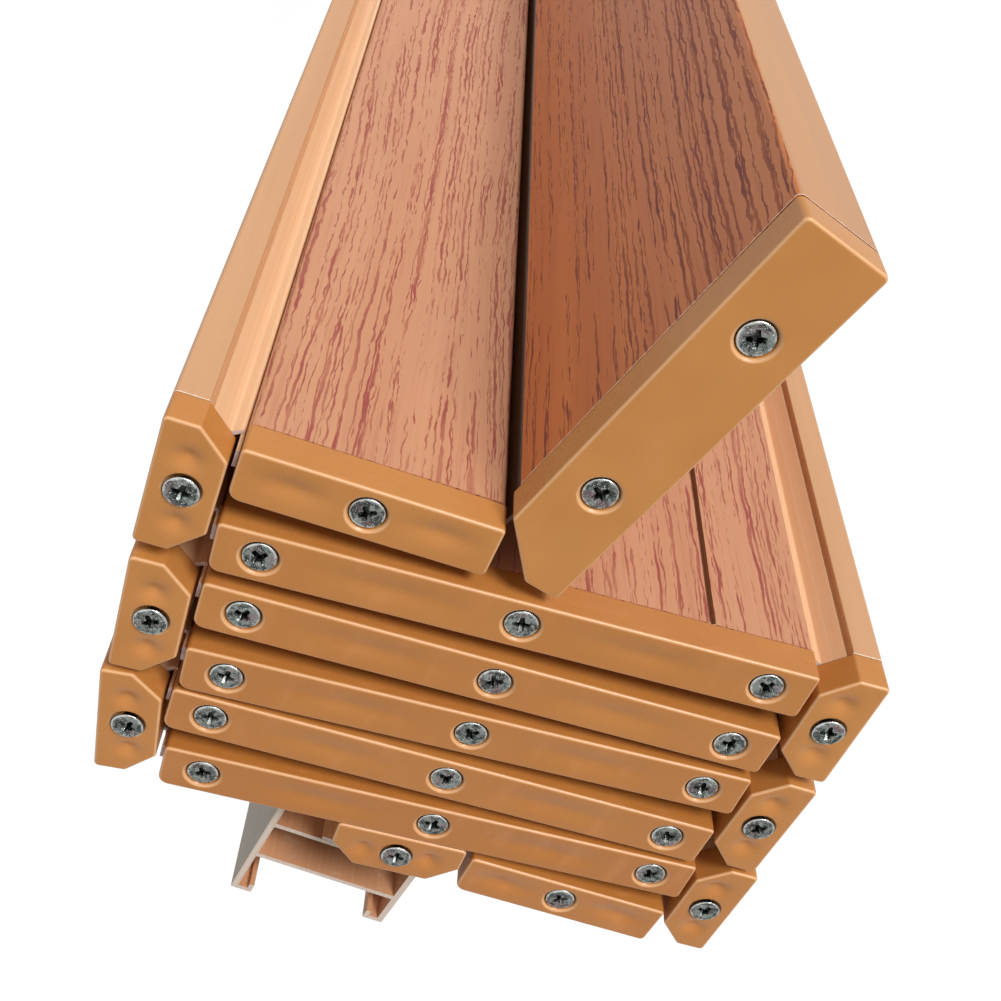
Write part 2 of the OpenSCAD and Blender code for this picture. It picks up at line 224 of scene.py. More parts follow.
def groove_path(face, inward):
    """Way into a bead's groove and out again, with the outline's inside on the left."""
    inward, face = unit(inward), np.asarray(face)
    along = np.array([inward[1], -inward[0]])
    arc = bulb(face + inward * (NECK_L + GROOVE_R), inward, along, GROOVE_R, NECK_HALF, 17)
    return [(*p, 0) for p in [face - along * NECK_HALF, *arc, face + along * NECK_HALF]]


def chamfer_point(side, along, lift=0.0):
    """Point on a slat's strip seat, from its hinge corner out, and lifted off the seat."""
    off = SEAT - lift
    return np.array([SLAT_FACE + (along + off) / ROOT2, side * (SLAT_REACH + (along - off) / ROOT2)])


# Solid end of a half leaf, far end of a slat's chambers, and roundings
GROOVE_BLOCK, SLAT_CHAMBER = 4.8, 6.0
SLAT_ROUNDS, POST_ROUND = (0.9, 0.3, 0.8), 1.2


def leaf_section(i):
    h, t, r = width(i) / 2, LEAF_T / 2, LEAF_ROUND
    low, high = [], []
    if not is_half(i):
        vee = [(VEE_AT + k * VEE_HALF, t if k else t - VEE_DEPTH, 0) for k in (1, 0, -1)]
        if on_right(i):
            high = vee
        else:
            low = [(u, -v, 0) for u, v, _ in reversed(vee)]
    outline = [(-h, -t, r), *low, (h, -t, r), *groove_path((h, 0), (-1, 0)), (h, t, r), *high, (-h, t, r)]
    outline += groove_path((-h, 0), (1, 0))
    inner = t - LEAF_WALL
    end = h - GROOVE_BLOCK if is_half(i) else SCREW_PITCH - BOSS_HALF
    return rounded(outline), [box(-end, -inner, -BOSS_HALF, inner), box(BOSS_HALF, -inner, end, inner)]


def slat_section(i):
    out, end, corner = SLAT_T / 2, SLAT_HALF, SLAT_FACE + SLAT_CUT
    seat_top, seat_low = SLAT_HALF - SEAT * ROOT2, SLAT_REACH - SEAT * ROOT2
    up = groove_path(chamfer_point(1, SLAT_CUT / ROOT2 if i == 0 else ANCHOR), (1, -1))
    down = [] if i == 0 else groove_path(chamfer_point(-1, ANCHOR), (1, 1))
    flat = groove_path((out - SLAT_WALL - GROOVE_R, -end), (0, 1)) if i == 0 else []
    back, step, front = SLAT_ROUNDS
    outline = [(out, -end, back), (out, end, back), (corner, end, step), (corner, seat_top, 0), *up]
    outline += [(SLAT_FACE, seat_low, front), (SLAT_FACE, -seat_low, front), *down]
    outline += [(corner, -seat_top, 0), (corner, -end, step), *flat]
    inner, far = out - SLAT_WALL, SLAT_CHAMBER
    return rounded(outline), [box(-inner, BOSS_HALF, inner, far), box(-inner, -far, inner, -BOSS_HALF)]


def post_groove():
    """Middle of the post's groove on its chamfer, and the way into it."""
    along = unit((POST_CUT_FACE, POST_CUT))
    return np.array([POST_CUT_FACE, POST_T]) - POST_ANCHOR * along, np.array([along[1], -along[0]])


def post_section():
    corners = [*box(0, 0, POST_W, POST_T)[:3], (POST_CUT_FACE, POST_T)]
    outline = [(*c, POST_ROUND) for c in corners]
    outline += [*groove_path(*post_groove()), (0, POST_T - POST_CUT, POST_ROUND)]
    low, high = POST_WALL, POST_T - POST_WALL
    (a, _), (b, _) = POST_SCREWS
    holes = [box(a + BOSS_HALF, low, b - BOSS_HALF, high), box(b + BOSS_HALF, low, POST_W - POST_WALL, high)]
    return rounded(outline), holes


# Meshes
def inside(points, loop):
    """Whether each point lies in the outline, by counting crossings."""
    u, v = points.T[:, :, None]
    (u0, v0), (u1, v1) = loop.T, np.roll(loop, -1, 0).T
    rise = np.where(v1 == v0, 1e-12, v1 - v0)
    crossed = ((v0 > v) != (v1 > v)) & (u < u0 + (v - v0) / rise * (u1 - u0))
    return np.sum(crossed, axis=1) % 2 == 1


def filled(loops, extra=()):
    """Triangles between the first outline and the others. The extra points come after the outlines' own."""
    points = np.vstack([*loops, *([extra] if len(extra) else [])])
    edges, first = [], 0
    for loop in loops:
        n = len(loop)
        edges += [(first + k, first + (k + 1) % n) for k in range(n)]
        first += n
    verts, _, faces, origin, _, _ = delaunay_2d_cdt([Vector(p) for p in points], edges, [], 1, 1e-7)
    index = [o[0] if o else int(np.argmin(np.linalg.norm(points - np.array(v), axis=1)))
             for v, o in zip(verts, origin)]
    tri = np.array([[index[k] for k in f] for f in faces if len({index[k] for k in f}) == 3])
    centre = points[tri].mean(1)
    keep = np.ones(len(tri), bool)
    for loop in loops[1:]:
        keep &= ~inside(centre, loop)
    return tri[keep]


def shade_by_area(mesh, sharp):
    """Corner normals that follow the larger faces, so that a flat stays flat up to its rounded edge."""
    corners, faces = len(mesh.loops), len(mesh.polygons)
    at, sides = np.empty(corners, np.int32), np.empty(faces, np.int32)
    area, normal = np.empty(faces), np.empty(3 * faces)
    mesh.loops.foreach_get("vertex_index", at)
    mesh.polygons.foreach_get("loop_total", sides)
    mesh.polygons.foreach_get("area", area)
    mesh.polygons.foreach_get("normal", normal)
    face = np.repeat(np.arange(faces), sides)
    pull = normal.reshape(-1, 3)[face]
    shared = np.bincount(at, minlength=len(mesh.vertices))
    order, first = np.argsort(at, kind="stable"), np.cumsum(shared) - shared
    near = shared[at]
    one = np.repeat(np.arange(corners), near)
    other = order[first[at[one]] + np.arange(len(one)) - np.repeat(np.cumsum(near) - near, near)]
    weight = area[face[other]] * (np.sum(pull[one] * pull[other], axis=1) > math.cos(math.radians(sharp)))
    total = np.stack([np.bincount(one, pull[other, k] * weight, corners) for k in range(3)], 1)
    total /= np.linalg.norm(total, axis=1)[:, None] + 1e-30
    mesh.normals_split_custom_set(total.tolist())


def at_height(loop, z):
    return np.c_[loop, np.full(len(loop), z)]


def placed(name, data):
    made = bpy.data.objects.new(name, data)
    bpy.context.scene.collection.objects.link(made)
    return made


def ring_faces(rings, n, order):
    """Quads between neighbouring rings of n points, with their corners in the given order."""
    faces = []
    for k in range(0, (rings - 1) * n, n):
        for a in range(n):
            b = (a + 1) % n
            corners = (k + a, k + b, k + n + b, k + n + a)
            faces.append(tuple(corners[m] for m in order))
    return faces


# Orders of a quad's corners: rings that rise, rings that fall, and rings that fall into a hole
RISING, FALLING, SINKING = (0, 1, 2, 3), (0, 3, 2, 1), (1, 2, 3, 0)


class Form:
    """A mesh in the making: points in a piece's own plan and height, faces, and what these carry."""

    def __init__(self, tone=0.0):
        self.points, self.faces, self.uvs, self.slots, self.marks = [], [], [], [], []
        self.tone, self.count = tone, 0

    def add(self, points, faces, uvs=None, slots=0, painted_light_shade=None):
        points = np.asarray(points, float)
        faces = [tuple(int(k) + self.count for k in f) for f in faces]
        self.points.append(points)
        self.faces += faces
        if uvs is None:
            uvs = [[points[k - self.count, :2] for k in f] for f in faces]
        self.uvs += list(uvs)
        self.slots += [slots] * len(faces) if isinstance(slots, int) else list(slots)
        self.marks.append(np.zeros(len(points)) if painted_light_shade is None else np.asarray(painted_light_shade, float))
        self.count += len(points)

    def tube(self, loop, z0, z1, outward=True, slot_of=None, left_open=None):
        """Walls of an outline, mapped by the way round it and the height."""
        order, ahead = 1 if outward else -1, np.roll(loop, -1, 0)
        way = np.concatenate([[0], np.cumsum(np.linalg.norm(ahead - loop, axis=1))])
        walls = [k for k in range(len(loop)) if not (left_open and left_open(loop[k], ahead[k]))]
        every = ring_faces(2, len(loop), RISING)
        uvs = [box(way[k], z0, way[k + 1], z1)[::order] for k in walls]
        slots = [slot_of((loop[k] + ahead[k]) / 2) for k in walls] if slot_of else 0
        faces = [every[k][::order] for k in walls]
        self.add(np.vstack([at_height(loop, z) for z in (z0, z1)]), faces, uvs, slots)

    def ends(self, loops, z0, z1, slot):
        """Both ends of a section."""
        flat, tri = np.vstack(loops), filled(loops)
        self.add(at_height(flat, z1), tri, slots=slot)
        self.add(at_height(flat, z0), tri[:, ::-1], slots=slot)

    def prism(self, outer, holes, z0, z1, slot_of=None, end_slot=0):
        """A section drawn out from one height to another."""
        self.tube(outer, z0, z1, True, slot_of)
        for hole in holes:
            self.tube(hole, z0, z1, False, slot_of)
        self.ends([outer, *holes], z0, z1, end_slot)

    def joined(self, other, turned_over=False):
        """Takes up another form, turned over for the door's foot."""
        flip = -1 if turned_over else 1
        self.points += [points * (1, 1, flip) for points in other.points]
        self.faces += [tuple(k + self.count for k in f)[::flip] for f in other.faces]
        self.uvs += [list(uv)[::flip] for uv in other.uvs]
        self.slots += other.slots
        self.marks += other.marks
        self.count += other.count

    def piece(self, name, i, materials, sharp=32.0):
        """The mesh object, with the plan of piece i turned into the door's own frame."""
        local = np.vstack(self.points)
        plan = on(i, local[:, :2]) if i is not None else local[:, :2]
        world = np.stack([plan[:, 1], -plan[:, 0], local[:, 2]], 1) / 1000
        mesh = bpy.data.meshes.new(name)
        mesh.from_pydata(world.tolist(), [], self.faces)
        layer = mesh.uv_layers.new(name="plan")
        flat = np.array([c for face in self.uvs for c in face], np.float32) / 1000
        layer.data.foreach_set("uv", flat.ravel())
        marks = np.concatenate(self.marks)
        # What the materials read at each point: painted highlight and shade, each cap's tone with its painted
        # shade, and the painted highlight on a screw's rim
        carried = (("painted_light_shade", marks), ("tone_and_painted_shade", np.full(len(world), self.tone)), ("rim", np.clip(-marks, 0, 1)))
        for key, values in carried:
            mesh.attributes.new(key, "FLOAT", "POINT").data.foreach_set("value", values.astype(np.float32))
        mesh.polygons.foreach_set("material_index", np.array(self.slots, np.int32))
        for m in materials:
            mesh.materials.append(m)
        bm = bmesh.new()
        bm.from_mesh(mesh)
        bmesh.ops.remove_doubles(bm, verts=bm.verts, dist=1e-6)
        bm.to_mesh(mesh)
        bm.free()
        mesh.validate()
        mesh.shade_smooth()
        shade_by_area(mesh, sharp)
        return placed(name, mesh)


# Materials
def srgb(r, g, b):
    """A colour as it is seen, as the shader's own values."""
    seen = (x / 255 for x in (r, g, b))
    return (*(x / 12.92 if x <= 0.04045 else ((x + 0.055) / 1.055) ** 2.4 for x in seen), 1)


# Sockets for the colours of a mix node
MIX_A, MIX_B, MIX_OUT = 6, 7, 2


class Nodes:
    """Short calls that add nodes to the tree of a material or a world."""

    def __init__(self, owner):
        owner.use_nodes = True
        self.tree = owner.node_tree

    def put(self, socket, value):
        if isinstance(value, bpy.types.NodeSocket):
            self.tree.links.new(value, socket)
        else:
            socket.default_value = value

    def node(self, kind, inputs=(), **settings):
        made = self.tree.nodes.new("ShaderNode" + kind)
        for key, value in settings.items():
            setattr(made, key, value)
        for key, value in dict(inputs).items():
            self.put(made.inputs[key], value)
        return made

    def math(self, operation, a, b=0.0, clamp=False):
        return self.node("Math", {0: a, 1: b}, operation=operation, use_clamp=clamp).outputs[0]


class Finish(Nodes):
    """A material and the calls for its pattern."""

    def __init__(self, name, roughness, **values):
        self.material = bpy.data.materials.new(name)
        super().__init__(self.material)
        self.shader = self.tree.nodes["Principled BSDF"]
        for key, value in {"Roughness": roughness, **values}.items():
            self.shader.inputs[key.replace("_", " ")].default_value = value

    def plus(self, a, b):
        return self.math("ADD", a, b)

    def minus(self, a, b):
        return self.math("SUBTRACT", a, b)

    def times(self, a, b):
        return self.math("MULTIPLY", a, b)

    def mix(self, factor, a, b):
        """One colour over another. A plain one is given as it is seen."""
        a, b = (c if isinstance(c, bpy.types.NodeSocket) else srgb(*c) for c in (a, b))
        inputs = {"Factor": factor, MIX_A: a, MIX_B: b}
        return self.node("Mix", inputs, data_type="RGBA", clamp_factor=True).outputs[MIX_OUT]

    def layered(self, colour, *layers):
        """Colours over one another, each up to its share as its value rises from low to high."""
        for value, low, high, share, over in layers:
            colour = self.mix(self.ramp(value, low, high, 0, share), colour, over)
        return colour

    def ramp(self, value, low, high, to_low=0.0, to_high=1.0):
        """A smooth step of a value between two levels."""
        inputs = enumerate((value, low, high, to_low, to_high))
        return self.node("MapRange", inputs, interpolation_type="SMOOTHSTEP").outputs[0]

    def noise(self, vector, scale=1.0, detail=2.0, rough=0.5, seed=0.0):
        inputs = {"Vector": vector, "W": seed, "Scale": scale, "Detail": detail, "Roughness": rough}
        return self.node("TexNoise", inputs, noise_dimensions="4D").outputs[0]

    def drawn(self, vector, x, y, seed, rough=0.5):
        """Noise that is stretched along the height."""
        return self.noise(self.scaled(vector, x, y), rough=rough, seed=seed)

    def parts(self, vector):
        return self.node("SeparateXYZ", {"Vector": vector}).outputs

    def scaled(self, vector, x, y, z=1.0):
        return self.node("VectorMath", {0: vector, 1: (x, y, z)}, operation="MULTIPLY").outputs[0]

    def place(self):
        """Position on the piece in millimetres."""
        return self.scaled(self.node("TexCoord").outputs["Object"], 1000, 1000, 1000)

    def plan(self):
        """Way round the section and height, in millimetres."""
        return self.scaled(self.node("TexCoord").outputs["UV"], 1000, 1000, 0)

    def given(self, name):
        """A number that the mesh carries at its points."""
        return self.node("Attribute", attribute_name=name).outputs["Fac"]

    def bump(self, height, depth, before=None):
        """Relief of a height from 0 to 1, as deep as the given millimetres."""
        inputs = {"Strength": 1.0, "Distance": depth / 1000, "Height": height}
        if before is not None:
            inputs["Normal"] = before
        return self.node("Bump", inputs).outputs["Normal"]

    def done(self, colour, normal, roughness=None):
        for key, value in (("Base Color", colour), ("Normal", normal), ("Roughness", roughness)):
            if value is not None:
                self.put(self.shader.inputs[key], value)
        return self.material


def make_cap_plastic():
    f = Finish("cap_plastic", 0.3, IOR=1.47, Specular_IOR_Level=0.36)
    at = f.place()
    cloud = f.noise(at, 0.045)
    speck = f.noise(at, 0.9, 3, 0.6)
    flow = f.noise(f.scaled(at, 0.05, 0.18, 0.6), seed=3)
    colour = f.layered((196, 131, 66), (cloud, 0.35, 0.65, 1, (202, 138, 72)))
    # Each cap's darker tone, partly painted shade for light that falls off along the stack
    colour = f.mix(f.times(f.given("tone_and_painted_shade"), 0.8), colour, (176, 108, 46))
    colour = f.layered(colour, (flow, 0.5, 0.72, 0.35, (204, 134, 78)),
                       (speck, 0.62, 0.8, 0.1, (180, 112, 54)))
    # Painted highlight: a pale colour on the caps' rounded edges and on the upper edges of the screw seats
    colour = f.mix(f.times(f.given("painted_light_shade"), 0.66), colour, (240, 192, 146))
    normal = f.bump(f.noise(at, 3.5, 3, 0.6), 0.02, f.bump(cloud, 0.5))
    return f.done(colour, normal, f.ramp(speck, 0.3, 0.7, 0.26, 0.36))


def film_lines(f, grain, pitch, length, widest, crowd, seed):
    """Chains of short strokes along the height, one to each column, that swell and thin out."""
    part = f.parts(grain)
    across = f.math("DIVIDE", part[0], pitch)
    column = f.math("FLOOR", across)
    key = f.plus(f.times(column, 7.31), seed)

    def along(span, offset):
        way = f.node("CombineXYZ", {"Y": f.times(part[1], 1 / span)})
        return f.noise(way.outputs[0], 1, 2, 0.6, f.plus(key, offset))

    aside = f.node("TexWhiteNoise", {"W": f.plus(column, 0.5 + seed)}, noise_dimensions="1D")
    middle = f.plus(f.times(aside.outputs["Value"], 0.3), 0.35)
    middle = f.plus(middle, f.times(f.minus(along(length * 0.5, 3), 0.5), 2.4 / pitch))
    off = f.times(f.math("ABSOLUTE", f.minus(f.math("FRACT", across), middle)), pitch)
    chain = f.ramp(f.plus(along(length * 3, 5), crowd), 0.3, 0.43)
    swell = f.ramp(f.plus(along(length * 0.4, 7), f.times(crowd, 0.6)), 0.32, 0.6)
    half = f.times(f.times(chain, swell), widest)
    ragged = f.times(f.minus(f.drawn(grain, 2.4, 0.4, seed, 0.6), 0.5), 0.5)
    line = f.math("DIVIDE", f.minus(f.plus(half, ragged), off), LINE_SOFT, clamp=True)
    return f.times(line, f.ramp(half, 0.03, 0.14))


# How softly a printed line ends at its sides, in millimetres
LINE_SOFT = 0.16
# Printed lines: their pitch, the length of a stroke, and half its greatest width
BOLD_LINES = (4.9, 22, 0.46)
FINE_LINES = ((6.7, 26, 0.36), (3.7, 17, 0.26), (2.6, 12, 0.2))
# Colours of torn film, of a profile's cut end, and of the lines and marks of its die
TORN, CUT_END = (236, 214, 184), (238, 222, 198)
DIE_LINE, DIE_MARK = (200, 146, 112), (190, 132, 92)


def make_film(name, base, light, streak, faint, seed, edge=0.0, torn=0.0):
    """Printed wood film: broad tone, fine fibres, and broken lines in clusters that follow a wavy grain."""
    f = Finish(name, 0.42, IOR=1.46)
    at = f.plan()
    slow = f.times(f.minus(f.noise(f.scaled(at, 0.03, 0.005), 1, 1, seed=seed), 0.5), 11)
    quick = f.times(f.minus(f.drawn(at, 0.22, 0.05, seed + 9), 0.5), 1.1)
    shift = f.node("CombineXYZ", {"X": f.plus(slow, quick)})
    grain = f.node("VectorMath", {0: at, 1: shift.outputs[0]}, operation="ADD").outputs[0]
    tone = f.drawn(grain, 0.09, 0.004, seed + 1)
    fibre = f.drawn(grain, 3.2, 0.02, seed + 2)
    crowd = f.ramp(f.drawn(grain, 0.14, 0.011, seed + 3), 0.36, 0.64, -0.12, 0.12)
    way, height = f.parts(at)[:2]
    if edge:
        near = f.math("ABSOLUTE", f.minus(way, edge))
        crowd = f.plus(crowd, f.ramp(near, 16, 60, 0.12, -0.07))
    marks = film_lines(f, grain, *BOLD_LINES, crowd, seed + 4)
    for pitch, length, widest in FINE_LINES:
        marks = f.math("MAXIMUM", marks, film_lines(f, grain, pitch, length, widest, crowd, seed + pitch))
    smudge = f.drawn(grain, 0.9, 0.03, seed + 6)
    colour = f.layered(base, (tone, 0.3, 0.7, 1, light), (fibre, 0.45, 0.75, 0.3, faint),
                       (smudge, 0.52, 0.72, 0.5, faint))
    depth = f.ramp(f.drawn(grain, 0.4, 0.05, seed + 7), 0.35, 0.65, 0.5, 0.95)
    colour = f.mix(f.times(marks, depth), colour, streak)
    if torn:
        ragged = f.times(f.noise(f.place(), 1.1, seed=seed + 8), 0.85)
        ragged = f.plus(f.math("ABSOLUTE", height), ragged)
        colour = f.layered(colour, (ragged, BODY_Z + 0.06, BODY_Z + 0.16, torn, TORN))
    normal = f.bump(f.minus(f.times(fibre, 0.2), marks), 0.04)
    return f.done(colour, normal, f.ramp(marks, 0, 1, 0.4, 0.58))


def make_tan_plastic(name, base, light, seed):
    """Plain drawn plastic, with the faint lengthwise lines of its die and pale cut ends."""
    f = Finish(name, 0.44, IOR=1.46)
    at = f.plan()
    line = f.drawn(at, 1.6, 0.002, seed)
    tone = f.drawn(at, 0.12, 0.006, seed + 1)
    speck = f.noise(f.place(), 1.6, 3, 0.6, seed=seed + 2)
    z = f.plus(f.math("ABSOLUTE", f.parts(at)[1]), f.times(speck, 0.6))
    colour = f.layered(base, (tone, 0.3, 0.7, 1, light), (line, 0.5, 0.7, 0.3, DIE_LINE),
                       (speck, 0.62, 0.75, 0.2, DIE_MARK), (z, BODY_Z, BODY_Z + 0.1, 1, CUT_END))
    return f.done(colour, f.bump(line, 0.03), f.ramp(tone, 0.3, 0.7, 0.38, 0.5))


def make_strip(name, base, light, patch, pale):
    """Soft plastic that lets a little light in, with patches and pale glints."""
    f = Finish(name, 0.34, IOR=1.47, Subsurface_Weight=0.25, Subsurface_Scale=0.001,
               Subsurface_Radius=(1.0, 0.6, 0.4))
    at = f.plan()
    line = f.drawn(at, 1.1, 0.003, 31)
    tone = f.drawn(at, 0.2, 0.02, 32)
    glint = f.drawn(at, 1.7, 0.006, 33)
    colour = f.layered(base, (line, 0.35, 0.7, 1, light), (tone, 0.55, 0.75, 0.4, patch),
                       (glint, 0.6, 0.72, 0.6, pale))
    return f.done(colour, f.bump(line, 0.04), f.ramp(tone, 0.3, 0.7, 0.28, 0.42))


def make_strip_end(name, base, light):
    f = Finish(name, 0.5)
    speck = f.noise(f.place(), 2.5, 3, 0.6, seed=7)
    return f.done(f.layered(base, (speck, 0.35, 0.7, 1, light)), f.bump(speck, 0.05))


def make_steel():
    """Zinc plated steel with small dents. Its colour is partly painted reflection: a dark base for dark
    surroundings, lighter blotches, and bright specks as painted glints.
    """
    f = Finish("screw_steel", 0.3, Metallic=1.0)
    at = f.place()
    patch = f.noise(at, 0.7, 3, 0.6, seed=11)
    fine = f.noise(at, 4.5, 3, 0.65, seed=12)
    warm = f.noise(at, 0.35, seed=13)
    # Painted reflection: a dark base and lighter blotches. The last layer paints near-white glints as specks
    colour = f.layered((54, 59, 56), (patch, 0.42, 0.6, 1, (124, 130, 125)),
                       (warm, 0.5, 0.7, 0.6, (122, 98, 100)), (fine, 0.56, 0.72, 0.6, (52, 54, 50)),
                       (fine, 0.43, 0.34, 0.85, (238, 240, 238)))
    # Painted highlight on the head's rim, then painted shade in the recess and on the shank
    colour = f.mix(f.given("rim"), colour, (210, 212, 208))
    colour = f.mix(f.given("painted_light_shade"), colour, (24, 23, 21))
    return f.done(colour, f.bump(patch, 0.12, f.bump(fine, 0.05)), f.ramp(patch, 0.3, 0.7, 0.16, 0.36))


def make_channel(name, base, light, seed):
    """Drawn plastic with scuffs."""
    f = Finish(name, 0.48, IOR=1.45)
    line = f.drawn(f.plan(), 1.2, 0.002, seed)
    scuff = f.noise(f.scaled(f.place(), 0.2, 0.2, 0.5), 1, 3, 0.6, seed=seed + 1)
    colour = f.layered(base, (line, 0.35, 0.7, 1, light), (scuff, 0.55, 0.75, 0.3, (222, 204, 186)))
    return f.done(colour, f.bump(line, 0.04), f.ramp(scuff, 0.3, 0.7, 0.42, 0.55))


cap_plastic = make_cap_plastic()
leaf_film = make_film("leaf_film", (198, 139, 101), (207, 149, 111), (152, 68, 60), (184, 114, 88), 1)
post_film = make_film("post_film", (194, 106, 44), (206, 118, 52), (112, 38, 34),
                      (170, 82, 38), 41, edge=POST_W + POST_T / 2, torn=0.8)
post_edge = make_tan_plastic("post_edge", (190, 136, 90), (198, 145, 99), 27)
# Dark brown painted shade for the post's chamfer, and painted shade with some dirt for the leaves' V-groove
painted_shade_brown = make_tan_plastic("painted_shade_brown", (104, 60, 36), (118, 70, 44), 25)
slat_plastic = make_tan_plastic("slat_plastic", (202, 152, 108), (210, 161, 118), 21)
soft_strip = make_strip("soft_strip", (230, 182, 138), (236, 192, 150), (220, 172, 140), (236, 218, 214))
strip_end = make_strip_end("strip_end", (196, 176, 168), (226, 214, 208))
shaded_strip = make_strip("shaded_strip", (84, 50, 28), (96, 58, 34), (70, 42, 24), (98, 66, 44))
shaded_end = make_strip_end("shaded_strip_end", (96, 66, 46), (122, 88, 66))
screw_steel = make_steel()
channel_plastic = make_channel("channel_plastic", (192, 138, 98), (200, 150, 112), 51)
# A greyer copy of the channel's plastic, painted as shade on its outer side walls
channel_side_shade = make_channel("channel_side_shade", (156, 146, 131), (172, 161, 146), 55)
channel_cut = make_channel("channel_cut", (204, 184, 168), (220, 204, 190), 59)


def settle(piece, body, node):
    """A finished piece rides with its body and stands for its node."""
    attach(piece, body)
    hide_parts(node)


def screw_places(i):
    if i == POST:
        return list(POST_SCREWS)
    rows = (0,) if is_slat(i) or is_half(i) else (-1, 0, 1)
    return [(k * SCREW_PITCH, 0.0) for k in rows]


# Profiles: how far the film wraps round the post, and parts of a round port
FILM_START, FILM_END = POST_CUT_FACE - 0.6, POST_W - 0.35
PORT_PARTS = 16


def in_vee(p):
    return abs(p[0] - VEE_AT) < VEE_HALF and 0.05 < LEAF_T / 2 - abs(p[1]) < VEE_DEPTH


def make_profile(i):
    pick = None
    if i == POST:
        outer, holes = post_section()
        materials, slot = [post_film, post_edge, painted_shade_brown], "post_film"
        # Slot 2, the post's chamfer, takes the painted shade
        pick = lambda p: 2 if p[0] < FILM_START and p[1] > POST_T - POST_CUT else int(p[0] > FILM_END)
    elif is_slat(i):
        outer, holes = slat_section(i)
        materials, slot = [slat_plastic], "slat_plastic"
    else:
        outer, holes = leaf_section(i)
        # The V-groove's faces take painted shade, with some dirt
        materials, slot, pick = [leaf_film, painted_shade_brown], "leaf_film", in_vee
    form = Form()
    ports = [circle(p, PORT_R, PORT_PARTS) for p in screw_places(i)]
    form.prism(outer, holes + ports, -BODY_Z, BODY_Z, pick)
    settle(form.piece(f"{name_of(i)}_profile", i, materials, 28), name_of(i), name_of(i))


# Caps
# Rounding of a cap's edge, and the seam under its rim with its small chamfer
RIM, SEAM, SEAM_EDGE = 0.65, 0.12, 0.14
# How strong the painted highlight on a rounded edge is, ring by ring
RIM_HIGHLIGHTS = (0, 0, 0, 0.4, 1, 1, 0.4, 0)
# Caps that stand off their profile at the far end: over which length, and by how much
LIFTS = {POST: (POST_W, 22, 0.3), POST - 1: (width(POST - 1) / 2, 16, 0.34)}
# How dark each cap is painted, from the wall to the post: partly a tone of its own, partly painted shade that
# deepens toward the wall, where the light falls off
CAP_TONE_AND_SHADE = (0.7, 0.8, 0.5, 0.95, 0.4, 0.75, 0.4, 0.75, 0.3, 0.6, 0.2, 0.55, 0.3, 0.3, 0.05)


def cap_outline(i):
    """Corners of a cap, and their roundings."""
    if i == POST:
        corners = [*box(0, 0, POST_W, POST_T)[:3], (POST_CUT, POST_T), (0, POST_T - POST_CUT)]
        rounds = (1.2, 1.2, 1.2, 1.0, 1.4)
    elif is_slat(i):
        right = [(-SLAT_FACE, SLAT_HALF), (SLAT_FACE + SLAT_CUT, SLAT_HALF), (SLAT_FACE, SLAT_REACH)]
        corners = [(-SLAT_FACE, -SLAT_HALF), *right, *[(u, -v) for u, v in right[:0:-1]]]
        rounds = (1.0, 1.0, 1.0, 1.2, 1.2, 1.0)
    else:
        corners, rounds = box(-width(i) / 2, -LEAF_T / 2, width(i) / 2, LEAF_T / 2), (2.2, 1.2, 0.8, 1.0)
    return [(*c, r) for c, r in zip(corners, rounds)]


def cap_dimples(i):
    """Sink marks of a cap's face: place, half lengths along u and v, depth."""
    if i == POST:
        return [(44, POST_T / 2, 14, 5.5, 0.16), (10, 7, 6, 4, 0.12)]
    if is_slat(i):
        return [(*p, 2.4, 2.2, 1.25) for p in ((-0.4, 7.6), (0.5, -7.2))]
    if is_half(i):
        return [(*p, 6.2, 2.3, 0.9) for p in ((13.5, 0.6), (-14, 0.4))]
    return [(u, 0.4, 12, 2.6, 0.6) for u in (-25, 25)]


# Points round a screw's seat, and its rings: radius and height against the cap's face
SEAT_PARTS = 40
SUNK_SEAT = ((4.3, 0), (4.12, -0.05), (3.92, -0.2), (3.74, -0.42), (3.56, -0.62), (3.42, -1.1), (1.8, -2.7))
PROUD_SEAT = ((3.95, 0), (3.75, -0.06), (3.55, -0.25), (3.42, -0.6), (1.8, -2.2))


def hex_grid(low, high, step):
    rows = enumerate(np.arange(low[1], high[1], step * 0.87))
    return np.array([(u, v) for row, v in rows
                     for u in np.arange(low[0] + row % 2 * step / 2, high[0], step)])


def from_edge(points, loop):
    """Distance of each point from the outline."""
    step = np.roll(loop, -1, 0) - loop
    away = points[:, None] - loop
    along = np.clip(np.sum(away * step, axis=2) / np.sum(step * step, axis=1), 0, 1)
    return np.min(np.linalg.norm(away - along[:, :, None] * step, axis=2), axis=1)


# Grid of a cap's face: its pitch, and how far it keeps from the outline and from a seat
GRID, GRID_EDGE, GRID_SEAT = 1.0, 0.5, 0.45
# Sink marks: how steeply one falls off, and how far from the outline they have faded in
SINK_FALL, SINK_EDGE = 1.3, 1.2


def cap_rings(i, outline):
    """Rings of a cap's side, from its seam up and round the edge to its face."""
    rings = [at_height(drawn_in(outline, SEAM_EDGE), SEAM), at_height(outline, SEAM + SEAM_EDGE)]
    if i in LIFTS:
        end, length, lift = LIFTS[i]
        for r in rings:
            r[:, 2] += np.clip((r[:, 0] - end + length) / length, 0, 1) * lift
    for a in np.linspace(0, math.pi / 2, 6):
        depth, drop = RIM * (1 - math.cos(a)), RIM * (1 - math.sin(a))
        rings.append(at_height(drawn_in(outline, depth) if depth else outline, CAP_D - drop))
    return rings


def sink(i, points, top):
    """Depth of a cap's sink marks at each point."""
    total = np.zeros(len(points))
    for u, v, a, b, depth in cap_dimples(i):
        far = ((points[:, 0] - u) / a) ** 2 + ((points[:, 1] - v) / b) ** 2
        total += depth * np.exp(-far * SINK_FALL)
    near = np.clip(from_edge(points, top) / SINK_EDGE, 0, 1)
    return total * near ** 2 * (3 - 2 * near)


